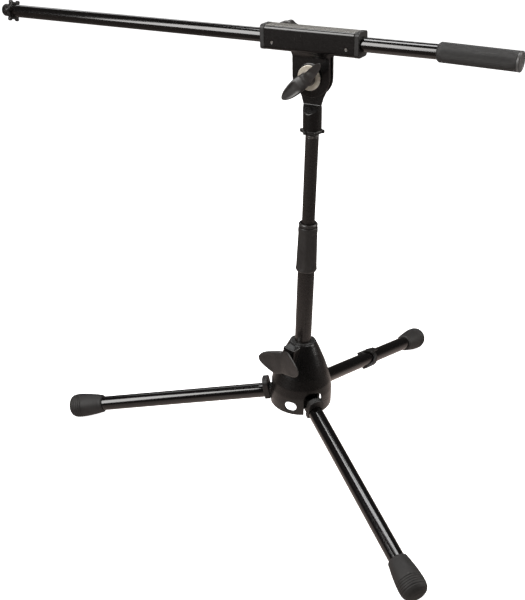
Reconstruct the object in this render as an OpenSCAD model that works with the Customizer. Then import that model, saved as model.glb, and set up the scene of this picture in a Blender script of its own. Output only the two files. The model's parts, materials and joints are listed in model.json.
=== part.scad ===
// Low boom microphone stand: folding tripod base, two-section mast with twist
// clutch, swivelling and tilting boom clamp, sliding boom with weighted grip.
// Origin: on the mast axis at floor level. +Z up, -X towards the microphone
// end of the boom, +X towards the grip, -Y front, +Y rear. Millimetres.

/* [Boom] */
// Outside diameter of the boom tube
boom_d = 16; // [14:0.5:16]
// Wall of the boom tube
boom_wall = 1.3; // [1:0.1:2]
// Length of boom tube on the microphone side of the tilt pivot
boom_front = 449.4; // [300:0.1:500]
// Length of boom on the grip side of the tilt pivot
boom_back = 236.5; // [200:0.1:260]
// Rise of the grip end above level
boom_tilt = 2.68; // [0:0.01:10]
// Height of the boom axis above the tilt pivot
boom_rise = 40.8; // [38:0.1:46]
// Length of the counterweight grip
grip_len = 88.4; // [60:0.1:100]
// Outside diameter of the counterweight grip
grip_d = 21.2; // [20:0.1:26]
// Major diameter of the microphone thread
mic_thread_d = 15.88; // [15.8:0.01:15.9]
// Length of the microphone thread
mic_thread_len = 17; // [12:0.5:20]

/* [Boom clamp] */
// Length of the cast clamp box
box_len = 113; // [100:1:130]
// Offset of the box centre from the pivot along the boom
box_shift = -0.4; // [-6:0.1:6]
// Width of the cast clamp box
box_w = 22; // [21:0.5:26]
// Height of the cast clamp box
box_h = 27.5; // [25:0.5:29]
// Thickness of each plastic end bush outside the box
bush_t = 5.6; // [4:0.1:8]
// Radius of the two cheeks
cheek_r = 23.6; // [22:0.1:24]
// Distance across the outside of both cheeks
cheek_span = 11.4; // [11:0.1:14]

/* [Mast] */
// Height of the tilt pivot above the floor
pivot_z = 506.9; // [500:0.1:515]
// Lean of the swivel head towards the microphone end
head_lean = 2.1; // [0:0.1:2.5]
// Outside diameter of the upper mast tube
upper_d = 16; // [15:0.5:16]
// Outside diameter of the lower mast tube
lower_d = 21.5; // [21:0.1:21.5]
// Wall of both mast tubes
mast_wall = 1.2; // [1:0.1:1.5]
// Height of the twist clutch's lower edge
clutch_z = 261.8; // [258:0.1:262]
// Length of the twist clutch
clutch_len = 64.6; // [62:0.1:66]
// Outside diameter of the twist clutch at the bottom
clutch_d = 26.8; // [26.5:0.1:29]
// Height of the underside of the mast lock ring
ring_z = 441.2; // [441:0.1:441.3]

/* [Base] */
// Height of the skirt's lower edge
skirt_z = 66; // [64:0.5:67]
// Height of the top of the neck
neck_z = 158; // [156:0.5:160]
// Direction of the clamping lug
lug_az = 258; // [250:1:268]
// Height of the clamping screw
lug_z = 141; // [138:1:143]

/* [Legs] */
// Direction of the first leg
leg_az0 = 202.07; // [195:0.01:210]
// Distance of each leg pivot from the mast axis
leg_pivot_r = 29; // [28:0.5:30]
// Height of each leg pivot
leg_pivot_z = 78.04; // [77:0.01:79]
// Slope of an opened leg below level
leg_slope = 12.287; // [12:0.001:13]
// Outside diameter of a leg tube
leg_d = 19.7; // [19:0.1:20]
// Distance from the leg pivot to the tip of the foot
leg_reach = 305.6; // [304:0.1:307]
// Length of a rubber foot
foot_len = 49.4; // [45:0.1:52]
// Distance from the leg pivot to the storage clip
clip_x = 130; // [80:1:150]

/* [Hidden] */
$fn = 72;
run = 0.05;   // running clearance on a radius
snug = 0.02;  // tight clearance on a radius
boom_r = boom_d / 2;
upper_r = upper_d / 2;
lower_r = lower_d / 2;
leg_r = leg_d / 2;
leg_az = [leg_az0, leg_az0 + 120, leg_az0 + 240];

// Head: the tilt pivot, in the upright frame and along the leaning axis
mast_top = 436;
pivot_x = -(pivot_z - mast_top) * tan(head_lean);
pivot_h = mast_top + (pivot_z - mast_top) / cos(head_lean);

base_black = [0.07, 0.065, 0.065];
tube_black = [0.05, 0.045, 0.045];
soft_black = [0.11, 0.105, 0.1];
rubber = [0.2, 0.19, 0.185];
steel = [0.62, 0.6, 0.57];
brass = [0.72, 0.6, 0.32];
collet_white = [0.75, 0.73, 0.68];
bush_white = [0.8, 0.79, 0.75];
washer_brown = [0.35, 0.25, 0.18];

// ---------- frames ----------

// Swivel head, which leans a little about the top of the mast
module head_frame() translate([0, 0, mast_top]) rotate([0, -head_lean, 0])
    translate([0, 0, -mast_top]) children();

// Boom clamp: origin on the tilt pivot, X along the boom
module boom_frame() translate([pivot_x, 0, pivot_z]) rotate([0, -boom_tilt, 0]) children();

// Boom axis: Z of the child runs along +X of the boom
module along_boom(x) boom_frame() translate([x, 0, boom_rise]) rotate([0, 90, 0]) children();

// Direction of leg k, still level and on the mast axis
module leg_side(k) rotate([0, 0, leg_az[k]]) children();

// Pivot of leg k, level
module leg_pivot(k) leg_side(k) translate([leg_pivot_r, 0, leg_pivot_z]) children();

// Opened leg k: origin on its pivot, X out along the leg
module leg_frame(k) leg_pivot(k) rotate([0, leg_slope, 0]) children();

// Base screw: Z outwards, starting a distance from the mast axis
module along_lug(distance) rotate([0, 0, lug_az]) translate([0, 0, lug_z])
    rotate([0, 90, 0]) translate([0, 0, distance]) children();

// ---------- shared shapes ----------

module rod_x(r, h) rotate([0, 90, 0]) cylinder(r = r, h = h);

module rod_y(r, h) rotate([-90, 0, 0]) cylinder(r = r, h = h);

// Rod along Y, centred on the origin
module cross_rod(r, h) rotate([90, 0, 0]) cylinder(r = r, h = h, center = true);

// Two rods along X, each a distance y to the side
module rod_pair(y, r, h) for (s = [-1, 1]) translate([0, s * y, 0]) rod_x(r, h);

// Cutter for a hole of this depth, begun 1 below the face
module bore(r, depth) translate([0, 0, -1]) cylinder(r = r, h = depth + 1);

module ring(outer_r, inner_r, h) difference() {
    cylinder(r = outer_r, h = h);
    bore(inner_r, h + 1);
}

module tube(r, wall, h) ring(r, r - wall, h);

// Half outline on +X, closed by its mirror image on -X
function both_sides(half) = concat(half,
    [for (i = [len(half) - 1 : -1 : 0]) [-half[i][0], half[i][1]]]);

// Rectangle with round corners, made of exact arcs
module round_rect(w, h, r) {
    square([w - 2 * r, h], center = true);
    square([w, h - 2 * r], center = true);
    for (sx = [-1, 1], sy = [-1, 1])
        translate([sx * (w / 2 - r), sy * (h / 2 - r)]) circle(r = r, $fn = 32);
}

// Lobed lock ring with six points
module star_ring(bore_r, body_r, tip_r, t) {
    lobe_r = 2.2;
    difference() {
        union() {
            cylinder(r = body_r, h = t);
            for (a = [0 : 60 : 300]) rotate([0, 0, a + 15]) {
                translate([tip_r - lobe_r, 0, 0]) cylinder(r = lobe_r, h = t, $fn = 24);
                translate([0, -lobe_r, 0]) cube([tip_r - lobe_r, 2 * lobe_r, t]);
            }
        }
        bore(bore_r, t + 1);
    }
}

// Two-winged hand knob on a conical hub, Z outwards, wings along X. Each wing
// bulges to one side, and the other wing is the same turned half a turn
module wing_knob(hub_h, half, wing_w, wing_t, sweep, lobe) {
    root_z = hub_h - 3;
    tip_r = wing_w * 0.33;
    cylinder(r1 = 9, r2 = 7, h = hub_h);
    for (s = [-1, 1]) hull() {
        translate([0, 0, root_z]) cylinder(r = wing_w / 2 - 1.5, h = wing_t, $fn = 32);
        translate([s * half * 0.36, s * lobe, root_z + sweep * 0.4])
            cylinder(r = wing_w * 0.45, h = wing_t * 0.8, $fn = 32);
        translate([s * (half - tip_r), 0, root_z + sweep])
            cylinder(r = tip_r, h = wing_t * 0.6, $fn = 32);
    }
}

// ---------- base ----------

// Outer skin of the base: radius, height
skin_pts = [[41.3, skirt_z], [41.4, 78], [40.9, 90], [39.0, 102], [35.0, 115],
    [29.6, 130], [23.2, 145], [18.8, 154], [17.0, neck_z]];
skin_t = 2.8;
hollow_top = 4;      // row of skin_pts where the hollow ends

neck_low = 122;      // underside of the neck bore and of the lug
neck_bush_z = 124;
neck_bush_r = 13;
plug_room_r = 16;    // clearance round the mast's foot plug
plug_room_top = 123.5;

leg_pin_r = 3;
pin_lug_y = 10.1;
pin_lug_t = 3.8;
pin_lug_r = 7.5;

slot_x = 34.6;       // inner face of the leg slots
slot_depth = 14;
slot_arch_y = 4.4;
slot_arch_z = 89;
arch_r = 8;          // corner arcs of the slots and of the knuckle flanges
slot_half = slot_arch_y + arch_r;

opening_az = -43.3;  // from a leg to the opening beside it
opening_x = 36;
opening_depth = 8;
opening_r = 6.4;
opening_y = 1.6;
opening_z = 77.8;

lug_in = 12;
lug_len = 17;
lug_half = 9.2;
base_screw_r = 4;
pad_in = 8;          // inner end of the clamp pad
pad_r = 4.6;

// Solid of revolution inside the skin by inset, up to row top of skin_pts
module base_skin(inset, top) {
    low_z = skirt_z - (inset > 0 ? 1 : 0);
    rotate_extrude($fn = 96) polygon(concat(
        [[0, low_z], [skin_pts[0][0] - inset, low_z]],
        [for (i = [1 : top]) [skin_pts[i][0] - inset, skin_pts[i][1]]],
        [[0, skin_pts[top][1]]]));
}

// Notch through neck and bush, at the rear
module neck_notch() rotate([0, 0, 117.5]) translate([11.9, -20, 147]) cube([20, 40, 20]);

// Pair of lugs that carry one leg pin
module pin_lugs(k) leg_side(k) for (s = [-1, 1]) translate([leg_pivot_r, s * pin_lug_y, leg_pivot_z]) {
    cross_rod(pin_lug_r, pin_lug_t);
    translate([-pin_lug_r, -pin_lug_t / 2, 0]) cube([13, pin_lug_t, 33]);
}

// Arched leg slot, open at the bottom edge
module leg_slot(k) leg_side(k) translate([slot_x, 0, 0]) {
    translate([0, -slot_half, skirt_z - 5])
        cube([slot_depth, 2 * slot_half, slot_arch_z - skirt_z + 5]);
    translate([0, -slot_arch_y, slot_arch_z - 4])
        cube([slot_depth, 2 * slot_arch_y, arch_r + 4]);
    translate([0, 0, slot_arch_z]) rod_pair(slot_arch_y, arch_r, slot_depth);
}

// Oblong opening between two legs
module skirt_opening(k) leg_side(k) rotate([0, 0, opening_az]) translate([opening_x, 0, opening_z]) {
    rod_pair(opening_y, opening_r, opening_depth);
    translate([0, -opening_y, -opening_r])
        cube([opening_depth, 2 * opening_y, 2 * opening_r]);
}

// Clamping lug on the neck, with a round underside
module clamp_lug() rotate([0, 0, lug_az]) translate([lug_in, 0, neck_low]) {
    translate([0, -lug_half, 0]) cube([lug_len, 2 * lug_half, neck_z - 1.2 - neck_low]);
    rod_x(lug_half, lug_len);
}

module base_housing() color(base_black) difference() {
    union() {
        difference() {
            base_skin(0, len(skin_pts) - 1);
            base_skin(skin_t, hollow_top);
        }
        for (k = [0 : 2]) pin_lugs(k);
        clamp_lug();
    }
    translate([0, 0, neck_low]) cylinder(r = neck_bush_r + 0.03, h = 60);
    translate([0, 0, skirt_z - 6]) cylinder(r = plug_room_r, h = plug_room_top - skirt_z + 6);
    neck_notch();
    for (k = [0 : 2]) {
        leg_pivot(k) cross_rod(leg_pin_r + snug, 26);
        leg_slot(k);
        skirt_opening(k);
    }
    // bore for the clamping screw and pocket for its pad
    along_lug(pad_in) cylinder(r = base_screw_r + run, h = 30);
    along_lug(pad_in) cylinder(r = pad_r + 0.2, h = 9.2);
}

module neck_bush() color(soft_black) difference() {
    union() {
        translate([0, 0, neck_bush_z]) cylinder(r = neck_bush_r, h = neck_z - neck_bush_z);
        translate([0, 0, neck_z]) cylinder(r1 = 16.2, r2 = 12.6, h = 1.4);
    }
    translate([0, 0, neck_bush_z - 4]) cylinder(r = lower_r + run, h = 45);
    neck_notch();
    along_lug(pad_in - 2) cylinder(r = pad_r + 0.1, h = 12);
}

// Pad with its inner end hollowed to the lower tube
module clamp_pad() color(brass) difference() {
    along_lug(pad_in) cylinder(r = pad_r, h = 8.2);
    translate([0, 0, 125]) cylinder(r = lower_r + run, h = 30);
}

module leg_pivot_pins() color(steel) for (k = [0 : 2]) leg_pivot(k) cross_rod(leg_pin_r, 24);

module base_knob() color(soft_black) along_lug(lug_in + lug_len + 0.4) difference() {
    rotate([0, 0, 97])
        wing_knob(hub_h = 10, half = 33, wing_w = 23, wing_t = 8, sweep = 9, lobe = 7.5);
    bore(base_screw_r + snug, 9);
}

module base_knob_screw() color(steel) along_lug(16.3) cylinder(r = base_screw_r, h = 22);

// ---------- legs ----------

leg_wall = 1.3;
leg_core_r = leg_r - leg_wall - snug;  // what fits inside a leg tube
leg_tube_x = 17;
leg_tube_len = 275;
rivet_x = 40;
rivet_r = 2;
flange_x = 13;       // inner face of the knuckle flange
flange_t = 7.3;
flange_low = -8.6;
flange_arch_y = 2.5;
flange_arch_z = 12.2;
flange_half = flange_arch_y + arch_r;

// Outline of a foot: distance along the leg from the foot's inner end, radius
foot_pts = [[0, 11.6], [0.8, 12.4], [6, 13.3], [14, 14.6], [24, 15.9], [33, 16.5],
    [39, 16.4], [43, 15.4], [46, 13.4], [48.2, 10], [49.4, 5]];
foot_socket = 36;

clip_len = 22;
clip_jaw_len = 14;   // wider part at the end nearer the mast

module leg_tube(k) color(tube_black) leg_frame(k) translate([leg_tube_x, 0, 0])
    rotate([0, 90, 0]) tube(leg_r, leg_wall, leg_tube_len);

// Arched flange outside the skirt
module knuckle_flange() translate([flange_x, 0, 0]) {
    translate([0, -flange_half, flange_low])
        cube([flange_t, 2 * flange_half, flange_arch_z - flange_low]);
    translate([0, -flange_arch_y, 5])
        cube([flange_t, 2 * flange_arch_y, flange_arch_z + arch_r - 5]);
    translate([0, 0, flange_arch_z]) rod_pair(flange_arch_y, arch_r, flange_t);
}

module leg_knuckle(k) color(soft_black) leg_frame(k) difference() {
    union() {
        // lever between the lugs
        translate([-20, -7.9, -9]) cube([33.5, 15.8, 15.5]);
        knuckle_flange();
        // spigot inside the leg tube
        translate([leg_tube_x + 1, 0, 0]) rod_x(leg_core_r, 34);
    }
    cross_rod(leg_pin_r + run, 30);
    // seat for the leg tube
    translate([leg_tube_x - 0.1, 0, 0]) rotate([0, 90, 0]) ring(leg_r + snug, leg_core_r, 8);
    // rivet hole
    translate([rivet_x, 0, 0]) cylinder(r = rivet_r + snug, h = 24, center = true);
    // relief under the lever end, so the three levers clear each other
    translate([-24, -9, -12]) rotate([0, 35, 0]) cube([12, 18, 9]);
}

// Upright rivet with its ends rounded to the inside of the leg tube
module leg_rivet(k) color(steel) leg_frame(k) translate([rivet_x, 0, 0]) intersection() {
    cylinder(r = rivet_r, h = 2 * leg_core_r, center = true);
    rotate([0, 90, 0]) cylinder(r = leg_core_r - snug, h = 10, center = true);
}

// Rubber foot, cut flat at the floor
module leg_foot(k) color(rubber) difference() {
    leg_frame(k) translate([leg_reach - foot_len, 0, 0]) rotate([0, 90, 0]) difference() {
        rotate_extrude($fn = 64) polygon(concat([[0, 0]],
            [for (p = foot_pts) [p[1], p[0]]], [[0, foot_len]]));
        bore(leg_r + snug, foot_socket);
    }
    translate([-400, -400, -50]) cube([800, 800, 50]);
}

// Open spring clip on the rear leg: a snug collar, a wider jaw and a thumb tab
module storage_clip() color(soft_black) leg_frame(2) translate([clip_x, 0, 0])
    rotate([0, 90, 0]) difference() {
        union() {
            cylinder(r = leg_r + 3.35, h = clip_len);
            translate([-leg_r - 3.6, -6, clip_jaw_len]) cube([4, 12, 23]);
        }
        bore(leg_r + run, 43);
        bore(leg_r + 1.5, clip_jaw_len);
        // mouth, a wedge from -13 to 121 degrees
        translate([0, 0, -1]) linear_extrude(height = 44) polygon([[0, 0],
            [40 * cos(-13), 40 * sin(-13)], [56 * cos(54), 56 * sin(54)],
            [40 * cos(121), 40 * sin(121)]]);
    }

// ---------- mast ----------

lower_tube_z = 96.5;
upper_tube_z = 200;
lower_core_r = lower_r - mast_wall;         // inside of the lower tube
upper_core_r = upper_r - mast_wall - snug;  // what fits inside the upper tube
collar_r = 11.6;
lip_h = 5.2;
lip_bore_r = 8.5;
head_thread_r = 4.75;

module lower_tube() color(tube_black) translate([0, 0, lower_tube_z]) tube(lower_r, mast_wall, 203);

module lower_tube_foot_plug() color(soft_black) {
    translate([0, 0, lower_tube_z - 7.6]) cylinder(r = 13.2, h = 7.6);
    translate([0, 0, lower_tube_z - 0.5]) cylinder(r = lower_core_r - snug, h = 15);
}

module clutch_collar() color(soft_black) translate([0, 0, 268]) difference() {
    union() {
        cylinder(r = collar_r, h = 37);
        cylinder(r = collar_r + 0.35, h = 3);
    }
    bore(lower_r + snug, 31.6);
    translate([0, 0, 20]) cylinder(r = 9.6, h = 30);
}

// Tapered collet, split on the +X side
module clutch_collet() color(collet_white) translate([0, 0, 305.2]) difference() {
    union() {
        cylinder(r = 11.3, h = 3);
        translate([0, 0, 3]) cylinder(r1 = 10.6, r2 = 9.5, h = 11);
    }
    bore(upper_r + run, 29);
    translate([6, -0.8, -1]) cube([10, 1.6, 30]);
}

// Sleeve profile, radius and height: up the outside, then down the inside
sleeve_r = clutch_d / 2;
sleeve_top = clutch_len - lip_h - 0.1;
sleeve_pts = [[12, 0], [sleeve_r - 0.8, 0], [sleeve_r, 1.6], [sleeve_r, 6],
    [12.2, clutch_len - 9.7], [11.9, sleeve_top],
    [lip_bore_r, sleeve_top], [lip_bore_r, 58], [9.8, 58],
    [collar_r + run, 46.6], [collar_r + run, 9.6], [12, 9.6]];

module clutch_sleeve() color(soft_black) translate([0, 0, clutch_z]) difference() {
    rotate_extrude() polygon(sleeve_pts);
    // shallow finger flutes
    for (a = [0 : 60 : 300]) rotate([0, 0, a + 29.9])
        translate([sleeve_r + 4.2, 0, 3]) cylinder(r = 5, h = 51, $fn = 32);
}

module clutch_lip_ring() color(soft_black) translate([0, 0, clutch_z + clutch_len - lip_h]) difference() {
    rotate_extrude() polygon([[0, 0], [10.6, 0], [10.6, 1.2], [11.8, 2.2],
        [11.8, 3.8], [10.8, lip_h], [0, lip_h]]);
    bore(lip_bore_r, 7);
    translate([0, 0, 3.8]) cylinder(r1 = lip_bore_r, r2 = 10.2, h = 1.5);
}

module upper_tube() color(tube_black) translate([0, 0, upper_tube_z])
    tube(upper_r, mast_wall, mast_top - upper_tube_z);

module upper_tube_end_bush() color(bush_white) difference() {
    union() {
        translate([0, 0, upper_tube_z - 6]) cylinder(r = lower_core_r - run, h = 6);
        translate([0, 0, upper_tube_z - 1]) cylinder(r = upper_core_r, h = 13);
    }
    translate([0, 0, upper_tube_z - 10]) cylinder(r = 4, h = 30);
}

// Plug in the tube, shoulder with a bevel, and the leaning threaded stud
module mast_thread_stud() color(steel) {
    translate([0, 0, mast_top - 18]) cylinder(r = upper_core_r, h = 18);
    translate([0, 0, mast_top]) cylinder(r = upper_r, h = 2.4);
    translate([0, 0, mast_top + 2.4]) cylinder(r1 = upper_r, r2 = 6.4, h = 2.2);
    head_frame() translate([0, 0, mast_top + 4]) cylinder(r = head_thread_r, h = 26);
}

module mast_lock_ring() color(soft_black) head_frame() translate([0, 0, ring_z])
    star_ring(bore_r = head_thread_r + run, body_r = 11.8, tip_r = 14.8, t = 3.7);

// ---------- swivel head ----------

socket_z = 445.1;
socket_top = 474.4;
tongue_half = 1.6;   // half the tongue's thickness
cheek_in = 2.1;      // inner face of each cheek, from the middle
tilt_bolt_r = 4;

// Right half of the tongue's stem, from the pivot: across, up
stem_half = [[11, -40], [11.2, -33], [13.8, -24], [17, -17.5], [20.6, -8.8]];

// Flat tongue: a disc on a flared stem
module tongue() intersection() {
    translate([0, 0, pivot_h]) rotate([90, 0, 0])
        linear_extrude(height = 2 * tongue_half, center = true) union() {
            circle(r = 22.4, $fn = 96);
            polygon(both_sides(stem_half));
        }
    translate([-40, -10, 468]) cube([80, 20, 100]);
}

module swivel_socket() color(base_black) head_frame() difference() {
    union() {
        translate([0, 0, socket_z]) cylinder(r = 11.1, h = socket_top - socket_z);
        tongue();
    }
    // stud bore
    translate([0, 0, 440]) cylinder(r = head_thread_r + run, h = 28);
    translate([0, 0, pivot_h]) cross_rod(tilt_bolt_r + run, 30);
    // sloping scoops below the cheeks
    for (a = [0, 180]) rotate([0, 0, a]) translate([0, -tongue_half, socket_top])
        rotate([45, 0, 0]) translate([-20, -30, 0]) cube([40, 30, 20]);
}

// Two washers, each midway between the tongue and a cheek
module friction_washers() color(washer_brown) translate([pivot_x, 0, pivot_z]) for (s = [-1, 1])
    translate([0, s * (tongue_half + cheek_in) / 2, 0]) rotate([90, 0, 0])
        translate([0, 0, -0.2]) ring(15, tilt_bolt_r + run, 0.4);

// ---------- boom clamp ----------

box_left = box_shift - box_len / 2;
box_right = box_shift + box_len / 2;
box_low = boom_rise - box_h / 2;
cheek_out = cheek_span / 2;
boss_t = 3.0;        // height of the boss on the front cheek
boss_y = -cheek_out - boss_t;
bush_r = 9.57;       // spigot of an end bush
bush_depth = 14;
bush_pin_in = 9.9;   // from the end of the box to the bush pins
bush_pin_z = boom_rise - 4.9;
bush_pin_r = 1.5;
boom_knob_x = -42.3;
boom_knob_y = box_w / 2 + 2.2;
boom_screw_r = 3;
boom_screw_y = 9.6;
shoe_r = 4.25;
nut_r = 7.5;

// Right half of the saddle between box and cheeks: across, up
saddle_half = [[cheek_out, box_low - 5.5], [cheek_out + 1, box_low - 3],
    [box_w / 2 - 2, box_low + 1], [box_w / 2 - 2, box_low + 2.5]];

// Place on the boom axis at the boom screw
module at_boom_screw(y = 0) translate([boom_knob_x, y, boom_rise]) children();

// Hole through box and bush for the pins near one end
module bush_pin_hole(x) translate([x, 0, bush_pin_z]) cross_rod(bush_pin_r + snug, 40);

module cheek() rotate([90, 0, 0])
    linear_extrude(height = cheek_out - cheek_in, center = true) union() {
        circle(r = cheek_r, $fn = 96);
        translate([-cheek_r, 0]) square([2 * cheek_r, box_low - 1]);
    }

module clamp_box() color(base_black) boom_frame() difference() {
    union() {
        translate([box_left, 0, boom_rise]) rotate([90, 0, 90]) linear_extrude(height = box_len)
            round_rect(box_w, box_h, 4);
        translate([-cheek_r, 0, 0]) rotate([90, 0, 90]) linear_extrude(height = 2 * cheek_r)
            polygon(both_sides(saddle_half));
        // raised boss under the friction disc
        rotate([90, 0, 0]) translate([0, 0, cheek_out - 0.5]) cylinder(r = 14.8, h = boss_t + 0.5);
        for (s = [-1, 1]) translate([0, s * (cheek_out + cheek_in) / 2, 0]) cheek();
        // boss for the boom screw at the rear
        at_boom_screw(box_w / 2 - 1) rod_y(8, 3);
    }
    // bore for bushes and boom
    translate([box_left - 1, 0, boom_rise]) rod_x(bush_r + 0.03, box_len + 2);
    // gap for the tongue
    translate([-30, -cheek_in, -30]) cube([60, 2 * cheek_in, 53.4]);
    cross_rod(tilt_bolt_r + run, 40);
    // pocket for the nut in the rear cheek
    translate([0, cheek_out + 1, 0]) rotate([90, 0, 0]) cylinder(r = nut_r + run, h = 3.2, $fn = 6);
    // boom screw, and the wider hole for its shoe
    at_boom_screw() rod_y(boom_screw_r + run, 30);
    at_boom_screw() rod_y(shoe_r + run, 10);
    for (x = [box_left + bush_pin_in, box_right - bush_pin_in]) bush_pin_hole(x);
}

// Plastic bush that closes the box end at x, facing -X or +X by side, and guides the boom
module end_bush(x, side) color(soft_black) boom_frame() difference() {
    union() {
        translate([side > 0 ? x : x - bush_t, 0, boom_rise]) rotate([90, 0, 90])
            linear_extrude(height = bush_t) round_rect(box_w + 0.4, box_h + 0.4, 4.2);
        translate([side > 0 ? x - bush_depth : x, 0, boom_rise]) rod_x(bush_r, bush_depth);
    }
    translate([x - 30, 0, boom_rise]) rod_x(boom_r + run, 60);
    bush_pin_hole(x - bush_pin_in * side);
    // room for the clamp shoe
    at_boom_screw() rod_y(shoe_r + 0.25, 12);
}

// Four short pins that hold the bushes in the box
module bush_pins() color(steel) boom_frame()
    for (x = [box_left + bush_pin_in, box_right - bush_pin_in], s = [-1, 1]) difference() {
        translate([x, s * (box_w / 2 + 0.3), bush_pin_z]) rotate([s * 90, 0, 0])
            cylinder(r = bush_pin_r, h = 4.6);
        translate([x - 5, 0, boom_rise]) rod_x(boom_r + 0.4, 10);
    }

// Shoe between boom screw and boom, hollowed to the boom
module clamp_shoe() color(brass) boom_frame() difference() {
    at_boom_screw(5) rod_y(shoe_r, 4.5);
    translate([boom_knob_x - 6, 0, boom_rise]) rod_x(boom_r + run, 20);
}

module tilt_nut() color(steel) boom_frame() translate([0, cheek_out + 0.6, 0])
    rotate([90, 0, 0]) difference() {
        cylinder(r = nut_r, h = 2.7, $fn = 6);
        bore(tilt_bolt_r + run, 8);
    }

module tilt_disc() color(steel) boom_frame() translate([0, boss_y - 0.02, 0])
    rotate([90, 0, 0]) ring(14.3, tilt_bolt_r + run, 1.5);

module tilt_knob() color(soft_black) boom_frame() translate([0, boss_y - 1.7, 0])
    rotate([90, 0, 0]) difference() {
        rotate([0, 0, 42.3]) wing_knob(hub_h = 9, half = 33.4, wing_w = 16.5, wing_t = 7,
            sweep = 10.5, lobe = 0.8);
        bore(tilt_bolt_r + snug, 6);
    }

module tilt_bolt() color(steel) boom_frame() translate([0, cheek_out + 1.4, 0])
    rotate([90, 0, 0]) cylinder(r = tilt_bolt_r, h = cheek_out + 1.4 - boss_y + 7.6);

// Round knob with eight ribs
module boom_knob() color(soft_black) boom_frame() at_boom_screw(boom_knob_y)
    rotate([-90, 0, 0]) difference() {
        union() {
            rotate_extrude() polygon([[0, 0], [8, 0], [9.5, 2.5], [13.8, 2.5], [13.8, 11.4],
                [11.6, 13.2], [0, 13.2]]);
            for (a = [0 : 45 : 315]) rotate([0, 0, a + 10])
                translate([13, 0, 3.1]) cylinder(r = 2.2, h = 7.7, $fn = 24);
        }
        bore(boom_screw_r + snug, 7);
    }

module boom_knob_screw() color(steel) boom_frame() at_boom_screw(boom_screw_y)
    rod_y(boom_screw_r, boom_knob_y - boom_screw_y + 6.8);

// ---------- boom ----------

boom_core_r = boom_r - boom_wall - 0.03;  // counterweight and cap plug
mic_r = mic_thread_d / 2;
grip_r = grip_d / 2;
cap_t = 3.3;

module boom_tube() color(tube_black) along_boom(-boom_front)
    tube(boom_r, boom_wall, boom_front + boom_back - 4);

// Plug in the tube, then a thread broken by a groove
module mic_thread_stud() color(steel) along_boom(-boom_front) {
    cylinder(r = boom_r - boom_wall - snug, h = 20);
    translate([0, 0, -4.9]) cylinder(r = mic_r, h = 4.9);
    translate([0, 0, -6]) cylinder(r = mic_r - 0.8, h = 2);
    translate([0, 0, -mic_thread_len]) cylinder(r = mic_r, h = mic_thread_len - 5.7);
}

module mic_lock_ring() color(soft_black) along_boom(-boom_front - 4.4)
    star_ring(bore_r = mic_r + run, body_r = 11.2, tip_r = 15, t = 4);

module counterweight() color(steel) along_boom(boom_back - grip_len + 8)
    cylinder(r = boom_core_r, h = grip_len - 17);

module grip_sleeve() color(rubber) along_boom(boom_back - grip_len) difference() {
    rotate_extrude() polygon([[0, 0], [grip_r - 1.8, 0], [grip_r, 2.2],
        [grip_r, grip_len - cap_t - 0.1], [0, grip_len - cap_t - 0.1]]);
    bore(boom_r + snug, grip_len + 1);
}

// Cap with a shallow dish in its face and a plug inside the boom
module grip_end_cap() color(rubber) along_boom(boom_back - cap_t) {
    difference() {
        rotate_extrude() polygon([[0, 0], [grip_r, 0], [grip_r + 0.2, 2.4], [grip_r - 0.5, cap_t],
            [grip_r - 2, cap_t], [grip_r - 2.4, 2.9], [0, 2.9]]);
        bore(boom_r + snug, 0.4);
    }
    translate([0, 0, -4]) cylinder(r = boom_core_r, h = 5);
}

base_housing();
neck_bush();
clamp_pad();
leg_pivot_pins();
base_knob();
base_knob_screw();
leg_tube(0);  // leg_tube_left
leg_tube(1);  // leg_tube_front
leg_tube(2);  // leg_tube_rear
leg_knuckle(0);  // leg_knuckle_left
leg_knuckle(1);  // leg_knuckle_front
leg_knuckle(2);  // leg_knuckle_rear
leg_foot(0);  // leg_foot_left
leg_foot(1);  // leg_foot_front
leg_foot(2);  // leg_foot_rear
leg_rivet(0);  // leg_rivet_left
leg_rivet(1);  // leg_rivet_front
leg_rivet(2);  // leg_rivet_rear
storage_clip();
lower_tube();
lower_tube_foot_plug();
clutch_collar();
clutch_collet();
clutch_sleeve();
clutch_lip_ring();
upper_tube();
upper_tube_end_bush();
mast_thread_stud();
mast_lock_ring();
swivel_socket();
friction_washers();
clamp_box();
end_bush(box_left, -1);  // end_bush_left
end_bush(box_right, 1);  // end_bush_right
bush_pins();
clamp_shoe();
tilt_nut();
tilt_disc();
tilt_knob();
tilt_bolt();
boom_knob();
boom_knob_screw();
boom_tube();
mic_thread_stud();
mic_lock_ring();
counterweight();
grip_sleeve();
grip_end_cap();
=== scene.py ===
import json
import math

import bmesh
import bpy
import numpy as np
from mathutils import Matrix, Vector


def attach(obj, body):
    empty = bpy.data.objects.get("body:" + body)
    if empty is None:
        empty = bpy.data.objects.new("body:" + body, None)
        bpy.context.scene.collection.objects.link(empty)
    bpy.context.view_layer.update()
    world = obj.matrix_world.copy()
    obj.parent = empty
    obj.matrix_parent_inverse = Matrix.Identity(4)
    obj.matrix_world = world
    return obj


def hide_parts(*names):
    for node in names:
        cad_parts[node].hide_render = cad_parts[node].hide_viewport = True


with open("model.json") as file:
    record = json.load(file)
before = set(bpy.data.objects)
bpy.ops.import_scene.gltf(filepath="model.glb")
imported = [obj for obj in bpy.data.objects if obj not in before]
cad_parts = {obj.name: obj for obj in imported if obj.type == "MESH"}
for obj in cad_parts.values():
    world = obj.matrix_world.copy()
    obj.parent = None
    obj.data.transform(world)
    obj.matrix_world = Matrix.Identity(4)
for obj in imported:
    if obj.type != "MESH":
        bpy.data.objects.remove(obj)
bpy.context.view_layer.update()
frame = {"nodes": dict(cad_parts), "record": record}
NODES = frame["nodes"]
SCENE = bpy.context.scene
MM = 0.001


# ---------- frames, in millimetres, the same as the CAD's ----------
def T(x, y, z):
    return Matrix.Translation((x, y, z))


def RX(d):
    return Matrix.Rotation(math.radians(d), 4, "X")


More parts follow.
